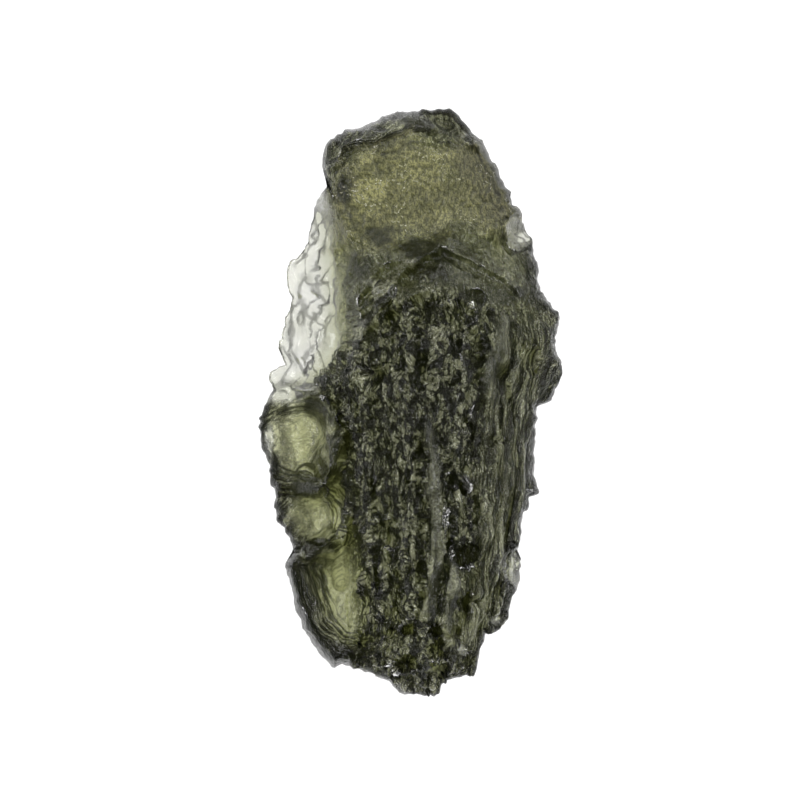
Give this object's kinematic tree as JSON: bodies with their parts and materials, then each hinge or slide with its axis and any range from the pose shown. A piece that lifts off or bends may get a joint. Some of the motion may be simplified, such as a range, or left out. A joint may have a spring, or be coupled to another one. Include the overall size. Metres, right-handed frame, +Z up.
{
  "type": "moldavite",
  "caption": "Natural piece of bottle-green impact glass, deeply etched and ribbed, with a smooth facet at one end, thin bright edges and a small flat spot to rest on.",
  "frame": {"origin": "on the surface that the stone rests on, under the centre of the stone's bounding box", "axes": "+Y along the stone towards its smooth end, +X towards its toothed right edge, +Z up from the flat spot to the ribbed side that the picture shows"},
  "size_m": [0.015, 0.0294, 0.0082],
  "materials": {
    "moldavite_glass": "clear bottle-green to olive natural glass, see-through where it is thin and nearly black-green where it is thick, with a satin etched surface"
  },
  "bodies": {
    "root": {"moldavite": "moldavite_glass"}
  },
  "joints": []
}
